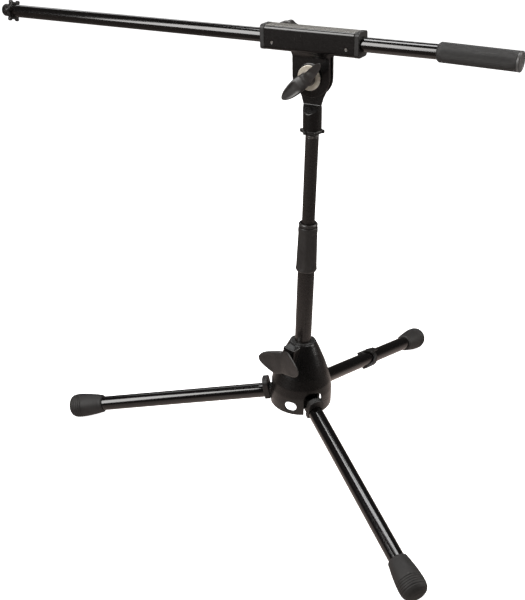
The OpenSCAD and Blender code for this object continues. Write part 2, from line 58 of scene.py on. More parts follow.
def RY(d):
    return Matrix.Rotation(math.radians(d), 4, "Y")


def RZ(d):
    return Matrix.Rotation(math.radians(d), 4, "Z")


BOOM_D, BOOM_FRONT, BOOM_BACK, BOOM_TILT, BOOM_RISE = 16.0, 449.4, 236.5, 2.68, 40.8
GRIP_LEN, GRIP_D, THREAD_D, THREAD_LEN = 88.4, 21.2, 15.88, 17.0
CLUTCH_Z, CLUTCH_LEN, CLUTCH_D = 261.8, 64.6, 26.8
PIVOT_Z, LEAN, MAST_TOP, RING_Z = 506.9, 2.1, 436.0, 441.2
PIVOT_X = -(PIVOT_Z - MAST_TOP) * math.tan(math.radians(LEAN))
LEG_AZ, LEG_R, LEG_Z, LEG_SLOPE, LEG_D, LEG_REACH, FOOT_LEN = 202.07, 29.0, 78.04, 12.287, 19.7, 305.6, 49.4
LUG_AZ, LUG_Z = 258.0, 141.0
KNOB_X, BOX_W, CHEEK_O, BOSS_T = -42.3, 22.0, 5.7, 3.0

HEAD = T(0, 0, MAST_TOP) @ RY(-LEAN) @ T(0, 0, -MAST_TOP)
BOOM = T(PIVOT_X, 0, PIVOT_Z) @ RY(-BOOM_TILT)
LUG = RZ(LUG_AZ) @ T(0, 0, LUG_Z) @ RY(90)
ID = Matrix.Identity(4)


def along_boom(x):
    return BOOM @ T(x, 0, BOOM_RISE) @ RY(90)


def leg(k):
    return RZ(LEG_AZ + 120 * k) @ T(LEG_R, 0, LEG_Z) @ RY(LEG_SLOPE)


# ---------- materials ----------
class Nodes:
    def __init__(self, name):
        self.mat = bpy.data.materials.new(name)
        self.mat.use_nodes = True
        self.t = self.mat.node_tree
        self.t.nodes.clear()
        self.out = self.t.nodes.new("ShaderNodeOutputMaterial")

    def add(self, kind, **inputs):
        n = self.t.nodes.new(kind)
        for key, value in inputs.items():
            if key.startswith("p_"):
                setattr(n, key[2:], value)
        for key, value in inputs.items():
            if not key.startswith("p_"):
                self.set(n, key.replace("_", " "), value)
        return n

    def set(self, n, key, value):
        sock = n.inputs[int(key)] if key.isdigit() else n.inputs[key]
        if isinstance(value, bpy.types.NodeSocket):
            self.t.links.new(value, sock)
        else:
            sock.default_value = value

    def math(self, op, a, b=0.0, clamp=False):
        n = self.t.nodes.new("ShaderNodeMath")
        n.operation, n.use_clamp = op, clamp
        self.set(n, "0", a)
        self.set(n, "1", b)
        return n.outputs[0]

    def span(self, v, a, b, c=0.0, d=1.0):
        n = self.t.nodes.new("ShaderNodeMapRange")
        for i, x in enumerate((v, a, b, c, d)):
            self.set(n, str(i), x)
        return n.outputs[0]

    def mix(self, fac, a, b):
        n = self.t.nodes.new("ShaderNodeMix")
        n.data_type = "RGBA"
        self.set(n, "0", fac)
        self.set(n, "6", a if isinstance(a, bpy.types.NodeSocket) else (*a, 1))
        self.set(n, "7", b if isinstance(b, bpy.types.NodeSocket) else (*b, 1))
        return n.outputs[2]

    def noise(self, vec, scale, detail=3.0, rough=0.55, stretch=None):
        if stretch:
            m = self.add("ShaderNodeMapping", Vector=vec, Scale=stretch)
            vec = m.outputs[0]
        n = self.add("ShaderNodeTexNoise", Vector=vec, Scale=scale, Detail=detail, Roughness=rough)
        return n.outputs[0]


# name: base colour, second colour, roughness low/high, metal, coat, (grain per mm, bump mm, kind), (wear colour, amount), dust
FINISH = {
    "cast_black": ((0.0014, 0.0011, 0.0010), (0.0034, 0.0026, 0.0024), 0.25, 0.33, 0.0, 0.10, (0.8, 0.006, "peel"), ((0.10, 0.088, 0.080), 0.30), 0.02),
    "box_black": ((0.0012, 0.0010, 0.0010), (0.0026, 0.0021, 0.0020), 0.20, 0.27, 0.0, 0.25, (0.7, 0.004, "peel"), ((0.10, 0.090, 0.082), 0.40), 0.02),
    # the grip cap's lighter grey is painted highlight: it stands in for the reflection on the cap's end face
    "cap_grey_painted_highlight": ((0.045, 0.043, 0.042), (0.065, 0.062, 0.060), 0.36, 0.50, 0.0, 0.1, (2.6, 0.014, "texture"), ((0.16, 0.155, 0.15), 0.35), 0.03),
    "tube_black": ((0.0012, 0.0010, 0.0010), (0.0030, 0.0023, 0.0021), 0.11, 0.17, 0.0, 0.40, (0.7, 0.003, "peel"), ((0.08, 0.070, 0.063), 0.20), 0.01),
    "mast_tube_black": ((0.0085, 0.0066, 0.0060), (0.0125, 0.0098, 0.0088), 0.24, 0.34, 0.0, 0.30, (0.6, 0.006, "peel"), ((0.06, 0.052, 0.047), 0.15), 0.01),
    "knuckle_black": ((0.0030, 0.0026, 0.0025), (0.0060, 0.0051, 0.0048), 0.42, 0.56, 0.0, 0.0, (2.6, 0.030, "texture"), ((0.08, 0.074, 0.07), 0.25), 0.04),
    "lock_ring_black": ((0.0030, 0.0027, 0.0026), (0.0060, 0.0053, 0.0050), 0.34, 0.48, 0.0, 0.1, (2.2, 0.016, "texture"), ((0.10, 0.094, 0.088), 0.30), 0.03),
    "thread_black": ((0.0060, 0.0054, 0.0051), (0.0120, 0.0106, 0.0098), 0.28, 0.42, 0.30, 0.0, (2.0, 0.008, "turned"), ((0.26, 0.24, 0.22), 0.40), 0.03),
    "neck_plastic": ((0.0040, 0.0035, 0.0033), (0.0080, 0.0070, 0.0066), 0.38, 0.52, 0.0, 0.0, (2.4, 0.015, "texture"), ((0.10, 0.094, 0.09), 0.30), 0.04),
    "bush_plastic": ((0.0070, 0.0062, 0.0059), (0.0120, 0.0108, 0.0102), 0.40, 0.54, 0.0, 0.0, (3.0, 0.020, "texture"), ((0.09, 0.084, 0.08), 0.25), 0.04),
    "knob_plastic": ((0.0105, 0.0090, 0.0084), (0.0180, 0.0157, 0.0147), 0.34, 0.48, 0.0, 0.1, (2.8, 0.020, "texture"), ((0.13, 0.12, 0.112), 0.35), 0.04),
    "clip_plastic": ((0.0030, 0.0026, 0.0025), (0.0060, 0.0052, 0.0049), 0.34, 0.48, 0.0, 0.0, (2.8, 0.018, "texture"), ((0.09, 0.084, 0.08), 0.30), 0.04),
    "clutch_plastic": ((0.0125, 0.0108, 0.0102), (0.0200, 0.0176, 0.0166), 0.34, 0.48, 0.0, 0.1, (2.8, 0.022, "texture"), ((0.10, 0.092, 0.086), 0.25), 0.03),
    "inner_plastic": ((0.070, 0.068, 0.064), (0.100, 0.097, 0.092), 0.45, 0.58, 0.0, 0.0, (2.0, 0.015, "texture"), ((0.2, 0.19, 0.18), 0.2), 0.05),
    "fibre": ((0.090, 0.055, 0.035), (0.150, 0.095, 0.062), 0.70, 0.85, 0.0, 0.0, (1.6, 0.040, "fibre"), ((0.3, 0.22, 0.16), 0.2), 0.0),
    "foot_rubber": ((0.0080, 0.0070, 0.0066), (0.0140, 0.0124, 0.0118), 0.52, 0.68, 0.0, 0.0, (2.2, 0.035, "rubber"), ((0.05, 0.046, 0.043), 0.45), 0.05),
    "grip_rubber": ((0.0095, 0.0086, 0.0082), (0.0150, 0.0137, 0.0131), 0.50, 0.64, 0.0, 0.0, (2.6, 0.030, "rubber"), ((0.05, 0.047, 0.045), 0.35), 0.03),
    "steel": ((0.46, 0.44, 0.42), (0.62, 0.60, 0.57), 0.24, 0.40, 1.0, 0.0, (1.6, 0.006, "turned"), ((0.75, 0.73, 0.70), 0.3), 0.0),
    "pin_steel": ((0.20, 0.19, 0.18), (0.34, 0.32, 0.30), 0.28, 0.42, 0.9, 0.0, (1.6, 0.006, "turned"), ((0.6, 0.58, 0.55), 0.4), 0.0),
    "disc_steel": ((0.66, 0.60, 0.50), (0.84, 0.78, 0.67), 0.26, 0.44, 0.75, 0.0, (1.4, 0.010, "turned"), ((0.95, 0.92, 0.86), 0.5), 0.0),
    "brass": ((0.50, 0.36, 0.13), (0.66, 0.50, 0.22), 0.28, 0.44, 1.0, 0.0, (1.6, 0.008, "turned"), ((0.85, 0.70, 0.40), 0.3), 0.0),
}
_made = {}


def finish_of(slot, cad=False):
    key = (slot, cad)
    if key in _made:
        return _made[key]
    c1, c2, r1, r2, metal, coat, (grain, depth, kind), (worn, wear), dust = FINISH[slot]
    n = Nodes(slot + ("_cad" if cad else ""))
    if cad:
        tc = n.add("ShaderNodeTexCoord")
        vec = n.add("ShaderNodeMapping", Vector=tc.outputs["Object"], Scale=(1000, 1000, 1000)).outputs[0]
    else:
        vec = n.add("ShaderNodeAttribute", p_attribute_name="loc").outputs["Vector"]
    cloud = n.noise(vec, 0.045, 4.0, 0.6)
    mottle = n.noise(vec, 0.35, 4.0, 0.6)
    speck = n.noise(vec, 1.8, 2.0, 0.5)
    tone = n.span(n.math("ADD", n.math("MULTIPLY", cloud, 0.6), n.math("MULTIPLY", mottle, 0.4)), 0.36, 0.64)
    colour = n.mix(tone, c1, c2)
    # handling marks: fine lines along and across the piece
    lines = n.noise(vec, 1.0, 3.0, 0.7, (0.05, 0.05, 2.4) if kind == "turned" else (1.5, 1.5, 0.035))
    cross = n.noise(vec, 0.9, 3.0, 0.7, (0.12, 1.6, 0.5))
    scratch = n.math("MAXIMUM", n.span(lines, 0.66, 0.74), n.span(cross, 0.70, 0.78))
    scratch = n.math("MULTIPLY", scratch, n.span(mottle, 0.45, 0.62))
    colour = n.mix(n.math("MULTIPLY", scratch, 0.14), colour, worn)
    # rubbed edges
    edge = n.span(n.add("ShaderNodeNewGeometry").outputs["Pointiness"], 0.515, 0.575)
    edge = n.math("MULTIPLY", edge, n.span(mottle, 0.38, 0.62, 0.35, 1.0))
    colour = n.mix(n.math("MULTIPLY", edge, wear), colour, worn)
    # dust that settles on upward faces
    geo = n.add("ShaderNodeNewGeometry")
    up = n.add("ShaderNodeSeparateXYZ", Vector=geo.outputs["Normal"]).outputs[2]
    dusty = n.math("MULTIPLY", n.span(up, 0.35, 1.0), n.span(speck, 0.42, 0.68))
    dusty = n.math("MULTIPLY", dusty, dust)
    colour = n.mix(dusty, colour, (0.20, 0.185, 0.172))
    if slot == "box_black":
        # painted sheen: the clamp box's upward faces get a pale colour that stands in for the lamps' reflection on its
        # top
        painted_top_sheen = n.math("MULTIPLY", n.span(up, 0.80, 0.94), n.span(cloud, 0.30, 0.70, 0.80, 1.0))
        colour = n.mix(n.math("MULTIPLY", painted_top_sheen, 0.92), colour, (0.150, 0.141, 0.122))
    rough = n.span(n.math("ADD", n.math("MULTIPLY", mottle, 0.6), n.math("MULTIPLY", speck, 0.4)), 0.35, 0.65, r1, r2)
    rough = n.math("ADD", rough, n.math("MULTIPLY", scratch, 0.10))
    rough = n.math("ADD", rough, n.math("MULTIPLY", dusty, 0.8), True)
    # relief
    if kind == "peel":
        relief = n.noise(vec, grain, 2.0, 0.45)
    elif kind == "turned":
        relief = n.noise(vec, grain, 3.0, 0.6, (0.08, 0.08, 3.0))
    elif kind == "fibre":
        relief = n.noise(vec, grain, 6.0, 0.75)
    elif kind == "rubber":
        v = n.add("ShaderNodeTexVoronoi", Vector=vec, Scale=grain * 0.8)
        relief = n.math("ADD", v.outputs[0], n.math("MULTIPLY", n.noise(vec, grain * 2, 4.0, 0.6), 0.6))
    else:
        v = n.add("ShaderNodeTexVoronoi", Vector=vec, Scale=grain)
        relief = n.math("ADD", n.math("MULTIPLY", v.outputs[0], 0.7), n.noise(vec, grain * 1.3, 3.0, 0.55))
    relief = n.math("SUBTRACT", relief, n.math("MULTIPLY", scratch, 0.5))
    bump = n.add("ShaderNodeBump", Strength=0.8, Distance=depth * MM, Height=relief)
    bsdf = n.add("ShaderNodeBsdfPrincipled", Base_Color=colour, Roughness=rough, Metallic=metal, Normal=bump.outputs[0])
    bsdf.inputs["Coat Weight"].default_value = coat
    bsdf.inputs["Coat Roughness"].default_value = 0.12
    if kind == "turned":
        bsdf.inputs["Anisotropic"].default_value = 0.4
    n.t.links.new(bsdf.outputs[0], n.out.inputs[0])
    _made[key] = n.mat
    return n.mat


# ---------- mesh helpers ----------
def fillet(pts, rad, seg=4, closed=False):
    """Rounds the corners of a profile; rad is one radius or one per point."""
    out, count = [], len(pts)
    for i in range(count):
        b = np.array(pts[i], float)
        r = rad[i] if isinstance(rad, (list, tuple)) else rad
        if r <= 0 or (not closed and i in (0, count - 1)):
            out.append(tuple(b))
            continue
        u = np.array(pts[i - 1], float) - b
        v = np.array(pts[(i + 1) % count], float) - b
        lu, lv = np.linalg.norm(u), np.linalg.norm(v)
        if lu < 1e-6 or lv < 1e-6:
            continue
        u, v = u / lu, v / lv
        ang = math.acos(max(-1, min(1, float(u @ v))))
        if ang > math.pi - 0.04:
            out.append(tuple(b))
            continue
        d = min(r / math.tan(ang / 2), lu * 0.46, lv * 0.46)
        p, q = b + u * d, b + v * d
        for t in np.linspace(0, 1, seg + 1):
            out.append(tuple((1 - t) ** 2 * p + 2 * t * (1 - t) * b + t * t * q))
    return out


def dense(pts, step, closed=False):
    """Adds points so that no span of a profile is longer than step."""
    out, ends = [], len(pts) if closed else len(pts) - 1
    for i in range(ends):
        a, b = np.array(pts[i], float), np.array(pts[(i + 1) % len(pts)], float)
        k = max(1, int(math.ceil(np.linalg.norm(b - a) / step)))
        out += [tuple(a + (b - a) * j / k) for j in range(k)]
    if not closed:
        out.append(tuple(pts[-1]))
    return out


def lathe(pts, n=96, closed=False, mod=None):
    """Surface of revolution of (radius, height) points about Z. mod(angle, r, z) may change the radius."""
    verts, rings = [], []
    ang = np.arange(n) * 2 * math.pi / n
    for r, z in pts:
        if r < 1e-6:
            rings.append([len(verts)])
            verts.append((0, 0, z))
            continue
        rr = np.array([mod(a, r, z) for a in ang]) if mod else np.full(n, r)
        rings.append(list(range(len(verts), len(verts) + n)))
        verts += list(zip(rr * np.cos(ang), rr * np.sin(ang), np.full(n, z)))
    faces = []
    pairs = list(zip(rings, rings[1:])) + ([(rings[-1], rings[0])] if closed else [])
    for a, b in pairs:
        for j in range(n):
            k = (j + 1) % n
            if len(a) == 1 and len(b) == 1:
                continue
            if len(a) == 1:
                faces.append((a[0], b[k], b[j]))
            elif len(b) == 1:
                faces.append((a[j], a[k], b[0]))
            else:
                faces.append((a[j], a[k], b[k], b[j]))
    return verts, faces


def tube_profile(ro, ri, length, edge=0.35):
    return fillet([(ro, 0), (ro, length), (ri, length), (ri, 0)], edge, 3, True)


def mesh_object(name, verts, faces, frame_matrix, local=None):
    v = np.array([tuple(x) for x in verts], float)
    m = np.array(frame_matrix, float)
    world = (v @ m[:3, :3].T + m[:3, 3]) * MM
    me = bpy.data.meshes.new(name)
    me.from_pydata([tuple(p) for p in world], [], [tuple(int(i) for i in f) for f in faces])
    me.update()
    bm = bmesh.new()
    bm.from_mesh(me)
    bmesh.ops.recalc_face_normals(bm, faces=bm.faces[:])
    bm.to_mesh(me)
    bm.free()
    at = me.attributes.new("loc", "FLOAT_VECTOR", "POINT")
    at.data.foreach_set("vector", np.asarray(local if local is not None else v, np.float32).ravel())
    ob = bpy.data.objects.new(name, me)
    SCENE.collection.objects.link(ob)
    return ob


def baked(ob):
    """Applies every modifier of ob to its mesh."""
    bpy.context.view_layer.update()
    dg = bpy.context.evaluated_depsgraph_get()
    me = bpy.data.meshes.new_from_object(ob.evaluated_get(dg), depsgraph=dg)
    ob.modifiers.clear()
    old, ob.data = ob.data, me
    bpy.data.meshes.remove(old)
    return ob


def relocate(ob, inverse=ID):
    """Stores each point's place in the piece's own frame, in millimetres, for its material."""
    me = ob.data
    co = np.zeros(len(me.vertices) * 3, np.float32)
    me.vertices.foreach_get("co", co)
    co = co.reshape(-1, 3).astype(float) / MM
    m = np.array(inverse, float)
    co = co @ m[:3, :3].T + m[:3, 3]
    if "loc" in me.attributes:
        me.attributes.remove(me.attributes["loc"])
    at = me.attributes.new("loc", "FLOAT_VECTOR", "POINT")
    at.data.foreach_set("vector", co.astype(np.float32).ravel())


def done(ob, body, slot, replaces=(), sharp=38, cad=False, look=None):
    me = ob.data
    me.materials.clear()
    me.materials.append(finish_of(look or slot, cad))
    me.shade_smooth()
    if sharp:
        me.set_sharp_from_angle(angle=math.radians(sharp))
    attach(ob, body)
    if replaces:
        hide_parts(*replaces)
    return ob


def remeshed(ob, voxel, passes, factor=0.5):
    m = ob.modifiers.new("remesh", "REMESH")
    m.mode, m.voxel_size, m.adaptivity = "VOXEL", voxel * MM, 0.0
    if passes:
        s = ob.modifiers.new("smooth", "SMOOTH")
        s.factor, s.iterations = factor, passes
    return baked(ob)


def cast_from(name, node, voxel, passes, inverse=ID):
    """A cast or moulded skin grown from a CAD node: its sharp edges become soft radii."""
    bm = bmesh.new()
    bm.from_mesh(NODES[node].data)
    bmesh.ops.remove_doubles(bm, verts=bm.verts[:], dist=2e-6)
    me = bpy.data.meshes.new(name)
    bm.to_mesh(me)
    bm.free()
    ob = bpy.data.objects.new(name, me)
    SCENE.collection.objects.link(ob)
    remeshed(ob, voxel, passes)
    relocate(ob, inverse)
    return ob


def joined(name, parts, frame_matrix):
    verts, faces = [], []
    for v, f in parts:
        base = len(verts)
        verts += [tuple(p) for p in v]
        faces += [tuple(i + base for i in g) for g in f]
    return mesh_object(name, verts, faces, frame_matrix)


# ---------- base ----------
done(cast_from("housing", "base_housing", 0.62, 9), "base", "cast_black", ["base_housing"], 0)
done(cast_from("neck_bush_skin", "neck_bush", 0.45, 4), "base", "neck_plastic", ["neck_bush"], 0)


def blade(half, narrow, wide, thick, z0, sweep, peak, cross, right=1.0, dip=0.22, nu=84, nv=60):
    """Two-winged blade. The left wing's narrow edge is up and its wide edge down; the right wing is the same
    turned half a turn. Each face is a little hollow, and the rim stays proud of it."""
    verts, rings = [], []
    for i in range(nu + 1):
        u = math.sin(math.pi / 2 * (-1 + 2 * i / nu))
        a = abs(u)
        x, zc = half * u, z0 + sweep * a**1.2
        if i in (0, nu):
            rings.append([len(verts)])
            verts.append((x, 0, zc))
            continue
        leaf = max(0.0, 1 - a**2.6) ** 0.56
        s = min(1.0, max(0.0, (u + cross) / (2 * cross)))
        s = s * s * (3 - 2 * s)
        bulge = math.exp(-(((a - peak) / 0.42) ** 2))
        wn, ww = narrow * leaf, (narrow + (wide - narrow) * bulge) * leaf
        wu, wl = wn * (1 - s) + ww * s, ww * (1 - s) + wn * s
        wu, wl = wu * (1 - (1 - right) * s), wl * (1 - (1 - right) * s)
        t = thick / 2 * max(0.0, 1 - a**4) ** 0.5 * (1 - 0.38 * a)
        ring = []
        for j in range(nv):
            f = 2 * math.pi * j / nv
            c, sn = math.cos(f), math.sin(f)
            w = wu if c > 0 else wl
            y = w * math.copysign(abs(c) ** 0.85, c)
            z = t * math.copysign(abs(sn) ** 0.75, sn)
            rim = min(1.0, abs(y) / max(w, 0.01))
            hollow = dip * thick * max(0.0, 1 - (rim / 0.84) ** 4) * min(1.0, max(0.0, (a - 0.26) * 5)) * max(0.0, 1 - a**3)
            ring.append(len(verts))
            verts.append((x, y, zc + z - (hollow if sn > 0 else -hollow * 0.5)))
        rings.append(ring)
    faces = []
    for a, b in zip(rings, rings[1:]):
        for j in range(nv):
            k = (j + 1) % nv
            if len(a) == 1:
                faces.append((a[0], b[k], b[j]))
            elif len(b) == 1:
                faces.append((a[j], a[k], b[0]))
            else:
                faces.append((a[j], a[k], b[k], b[j]))
    return verts, faces


def wing_knob(name, matrix, body, node, hub_h, blade_args):
    hub = lathe(fillet([(0, 0), (9, 0), (8.2, hub_h - 2), (7.2, hub_h + 2.2), (0, hub_h + 2.9)], [0, 0.6, 1.5, 2.2, 0], 5), 72)
    ob = joined(name, [hub, blade(*blade_args)], matrix)
    remeshed(ob, 0.36, 9)
    relocate(ob, matrix.inverted())
    return done(ob, body, "knob_plastic", [node], 0)


wing_knob("base_wing_knob", LUG @ T(0, 0, 29.4) @ RZ(95), "base_clamp_knob", "base_knob", 10, (34.6, 14.6, 20.6, 6.2, 10.5, 9, 0.28, 0.5))

# ---------- legs ----------
LEG_NAMES = ["left", "front", "rear"]


def foot_profile():
    cad = [(0, 11.6), (0.8, 12.4), (6, 13.3), (14, 14.6), (24, 15.9), (33, 16.5), (39, 16.4), (43, 15.4), (46, 13.4), (48.2, 10), (49.4, 5)]
    xs = np.concatenate([np.linspace(0, 1.2, 5), np.linspace(1.6, 26, 26), np.linspace(26.2, 49.4, 118)])
    rs = np.interp(xs, [p[0] for p in cad], [p[1] for p in cad])
    k = np.ones(5) / 5
    rs[6:-6] = np.convolve(rs, k, "same")[6:-6]
    for c in (29.5, 32.5, 35.5, 38.5, 41.5):
        rs -= 0.62 * np.exp(-(((xs - c) / 0.52) ** 2))
    rs -= 0.35 * np.exp(-(((xs - 4.2) / 0.5) ** 2))
    outer = [(float(r), float(x)) for x, r in zip(xs, rs)]
    bore = LEG_D / 2 + 0.02
    return [(bore, 0.0)] + outer + [(3.2, 49.4), (0, 49.2)], bore


for k, nm in enumerate(LEG_NAMES):
    lf, body = leg(k), "leg_" + nm
    v, f = lathe(dense(tube_profile(LEG_D / 2, LEG_D / 2 - 1.3, 275, 0.4), 12, True), 96, True)
    done(mesh_object("leg_tube_skin_" + nm, v, f, lf @ T(17, 0, 0) @ RY(90)), body, "tube_black", ["leg_tube_" + nm])
    done(cast_from("knuckle_" + nm, "leg_knuckle_" + nm, 0.42, 5, lf.inverted()), body, "knuckle_black", ["leg_knuckle_" + nm], 0)
    pts, bore = foot_profile()
    pts = [(0, 36.0), (bore, 36.0)] + pts
    v, f = lathe(pts, 128)
    fm = lf @ T(LEG_REACH - FOOT_LEN, 0, 0) @ RY(90)
    # mould parting line along both sides, and the worn flat that stands on the floor
    v2 = []
    for x, y, z in v:
        r = math.hypot(x, y)
        if r > bore + 1:
            a = math.atan2(y, x)
            r2 = r + 0.16 * math.exp(-((math.sin(a - math.pi / 2) / 0.03) ** 2))
            x, y = x * r2 / r, y * r2 / r
        v2.append((x, y, z))
    ob = mesh_object("foot_" + nm, v2, f, fm)
    co = np.zeros(len(ob.data.vertices) * 3, np.float32)
    ob.data.vertices.foreach_get("co", co)
    co = co.reshape(-1, 3)
    co[:, 2] = np.maximum(co[:, 2], 0)
    ob.data.vertices.foreach_set("co", co.ravel())
    ob.data.update()
    done(ob, body, "foot_rubber", ["leg_foot_" + nm], 50)

def clip_shell(ri, ro, length, scoop):
    """Two arms round the tube that meet in a full band: the near side is scooped out, the far side is open."""
    verts, faces = [], []
    zs = [length * i / 60 for i in range(61)]
    for side in (0, 1):
        rings = []
        for z in zs:
            h = 78 * math.sqrt(max(0.0, 1 - (z / scoop) ** 2)) if z < scoop else 0.0
            a0, a1 = (121, 228.4 - h) if side == 0 else (228.4 + h, 347)
            if h == 0:
                a0, a1 = (a0, a1 + 1) if side == 0 else (a0 - 1, a1)
            ring = []
            for r in (ri, ro):
                for j in range(25):
                    f = math.radians(a0 + (a1 - a0) * (j if r == ri else 24 - j) / 24)
                    ring.append(len(verts))
                    verts.append((r * math.cos(f), r * math.sin(f), z))
            rings.append(ring)
        for p, q in zip(rings, rings[1:]):
            for j in range(50):
                k = (j + 1) % 50
                faces.append((p[j], p[k], q[k], q[j]))
        faces.append(tuple(reversed(rings[0])))
        faces.append(tuple(rings[-1]))
    return verts, faces


def tab(x0, x1, w0, w1, z0, z1):
    verts = [(x, y, z) for z, w, xo in ((z0, w0, x0), (z1, w1, x0 + 0.9)) for x, y in ((xo, -w), (x1, -w), (x1, w), (xo, w))]
    return verts, [(3, 2, 1, 0), (4, 5, 6, 7), (0, 1, 5, 4), (1, 2, 6, 5), (2, 3, 7, 6), (3, 0, 4, 7)]


clip_m = leg(2) @ T(130, 0, 0) @ RY(90)
clip_r = LEG_D / 2
ob = joined("clip_skin", [clip_shell(clip_r + 0.12, clip_r + 3.35, 22, 16.8), tab(-clip_r - 3.3, -clip_r - 0.4, 5.6, 4.4, 15, 34)], clip_m)
remeshed(ob, 0.3, 4)
relocate(ob, clip_m.inverted())
done(ob, "clip", "clip_plastic", ["storage_clip"], 0)

# ---------- mast ----------
v, f = lathe(dense(tube_profile(10.75, 9.55, 203, 0.35), 10, True), 96, True)
done(mesh_object("lower_mast_skin", v, f, T(0, 0, 96.5)), "lower_mast", "mast_tube_black", ["lower_tube"])
v, f = lathe(dense(tube_profile(8, 6.8, 236, 0.35), 10, True), 96, True)
done(mesh_object("upper_mast_skin", v, f, T(0, 0, 200)), "upper_mast", "mast_tube_black", ["upper_tube"])


def clutch_profile():
    L = CLUTCH_LEN
    pts = [(12, 0), (CLUTCH_D / 2 - 0.8, 0), (CLUTCH_D / 2, 1.6), (CLUTCH_D / 2, 6), (12.2, L - 9.7), (11.9, L - 5.3), (8.5, L - 5.3), (8.5, 58), (9.8, 58), (11.65, 46.6), (11.65, 9.6), (12, 9.6)]
    rad = [0.2, 0.6, 0.8, 0.0, 1.2, 0.9, 0.3, 0.2, 0.2, 0, 0, 0]
    return dense(fillet(pts, rad, 4, True), 1.2, True)


def flutes(a, r, z):
    """Six shallow finger flats with softly rounded ribs between them, fading out towards both ends."""
    if r < 12.05:
        return r
    u = ((math.degrees(a) - 29.9 + 30) % 60 - 30) / 30
    hollow = math.cos(min(1.0, abs(u) / 0.62) * math.pi / 2) ** 1.3 if abs(u) < 0.62 else 0.0
    fade = min(1.0, max(0.0, (z - 2.4) / 4.0)) * min(1.0, max(0.0, (54.4 - z) / 5.0))
    return r - 0.62 * hollow * fade * fade * (3 - 2 * fade)


v, f = lathe(clutch_profile(), 240, True, flutes)
done(mesh_object("clutch_skin", v, f, T(0, 0, CLUTCH_Z)), "clutch", "clutch_plastic", ["clutch_sleeve"], 45)
pts = fillet([(8.5, 0), (10.6, 0), (10.6, 1.2), (11.8, 2.2), (11.8, 3.8), (10.8, 5.2), (10.2, 5.2), (8.5, 3.8)], [0.1, 0.2, 0.4, 0.9, 0.9, 0.5, 0.2, 0.2], 5, True)
v, f = lathe(pts, 128, True)
done(mesh_object("clutch_bead", v, f, T(0, 0, CLUTCH_Z + CLUTCH_LEN - 5.2)), "clutch", "clutch_plastic", ["clutch_lip_ring"], 45)


def star(a, body, tip, first):
    d = (math.degrees(a) - first + 30) % 60 - 30
    lobe = max(0.0, 1 - (d / 11.5) ** 2) ** 0.5
    soft = math.exp(-((d / 14.0) ** 2)) * 0.25
    return body + (tip - body) * max(lobe, soft)


def star_ring(name, matrix, body, slot, node, bore, rb, tip, t):
    prof = [(0, 0.0, 0.9), (0, 0.0, 0.45), (0, 0.18, 0.12), (0, 0.55, 0.0), (0, t - 0.55, 0.0), (0, t - 0.18, 0.12), (0, t, 0.45)]
    n, verts, rings = 300, [], []
    ang = np.arange(n) * 2 * math.pi / n
    outer = [(0.55, 0.0), (0.16, 0.16), (0.0, 0.55), (0.0, t / 2), (0.0, t - 0.55), (0.16, t - 0.16), (0.55, t)]
    for inset, z in outer:
        rr = np.array([star(a, rb, tip, 15) for a in ang]) - inset
        rings.append(list(range(len(verts), len(verts) + n)))
        verts += list(zip(rr * np.cos(ang), rr * np.sin(ang), np.full(n, z)))
    for r, z in [(bore + 0.8, t), (bore + 0.35, t - 0.05), (bore, t - 0.45), (bore, 0.45), (bore + 0.35, 0.05), (bore + 0.8, 0.0)]:
        rings.append(list(range(len(verts), len(verts) + n)))
        verts += list(zip(r * np.cos(ang), r * np.sin(ang), np.full(n, z)))
    faces = []
    for i in range(len(rings)):
        a, b = rings[i], rings[(i + 1) % len(rings)]
        faces += [(a[j], a[(j + 1) % n], b[(j + 1) % n], b[j]) for j in range(n)]
    return done(mesh_object(name, verts, faces, matrix), body, slot, [node], 45)


star_ring("mast_star_ring", HEAD @ T(0, 0, RING_Z), "mast_ring", "lock_ring_black", "mast_lock_ring", 4.8, 11.8, 14.8, 3.7)

# ---------- swivel head and clamp ----------
done(cast_from("swivel_skin", "swivel_socket", 0.38, 5, HEAD.inverted()), "head", "cast_black", ["swivel_socket"], 0)
done(cast_from("clamp_box_skin", "clamp_box", 0.42, 6, BOOM.inverted()), "boom_clamp", "cast_black", ["clamp_box"], 0, look="box_black")
for side in ("left", "right"):
    done(cast_from("end_bush_skin_" + side, "end_bush_" + side, 0.34, 4, BOOM.inverted()), "boom_clamp", "bush_plastic", ["end_bush_" + side], 0)

disc_m = BOOM @ T(0, -CHEEK_O - BOSS_T - 0.02, 0) @ RX(90)
prof = [(4.05, 0), (14.3, 0), (14.3, 1.5), (4.05, 1.5)]
prof = dense(fillet(prof, [0.1, 0.2, 0.45, 0.2], 4, True), 0.35, True)


v, f = lathe(prof, 144, True)
v = [(x, y, z - (0.035 * (1 + math.cos(2 * math.pi * math.hypot(x, y) / 0.9)) if z > 1.49 and 5.2 < math.hypot(x, y) < 13.4 else 0)) for x, y, z in v]
done(mesh_object("friction_disc", v, f, disc_m), "boom_clamp", "disc_steel", ["tilt_disc"], 45)

wing_knob("tilt_wing_knob", BOOM @ T(0, -CHEEK_O - BOSS_T - 1.7, 0) @ RX(90) @ RZ(42.3), "tilt_clamp_knob", "tilt_knob", 9, (33.2, 9.4, 8.6, 5.6, 8.5, 10.5, 0.30, 0.3, 0.66, 0.34))


def scallop(a, r, z):
    if r < 10:
        return r
    d = (math.degrees(a) - 10 + 22.5) % 45 - 22.5
    return r + (1.25 * math.cos(d / 22.5 * math.pi / 2) ** 1.6 if 2.6 < z < 11.2 else 0.0)


prof = [(0, 0), (8, 0), (9.5, 2.5), (13.8, 2.5), (13.8, 11.4), (11.6, 13.2), (6.2, 13.2), (5.6, 12.5), (0, 12.4)]
prof = dense(fillet(prof, [0, 0.3, 0.6, 0.7, 1.2, 1.2, 0.5, 0.4, 0], 5), 0.8)
v, f = lathe(prof, 240, False, scallop)
done(mesh_object("round_knob", v, f, BOOM @ T(KNOB_X, BOX_W / 2 + 2.2, BOOM_RISE) @ RX(-90)), "boom_clamp_knob", "knob_plastic", ["boom_knob"], 45)

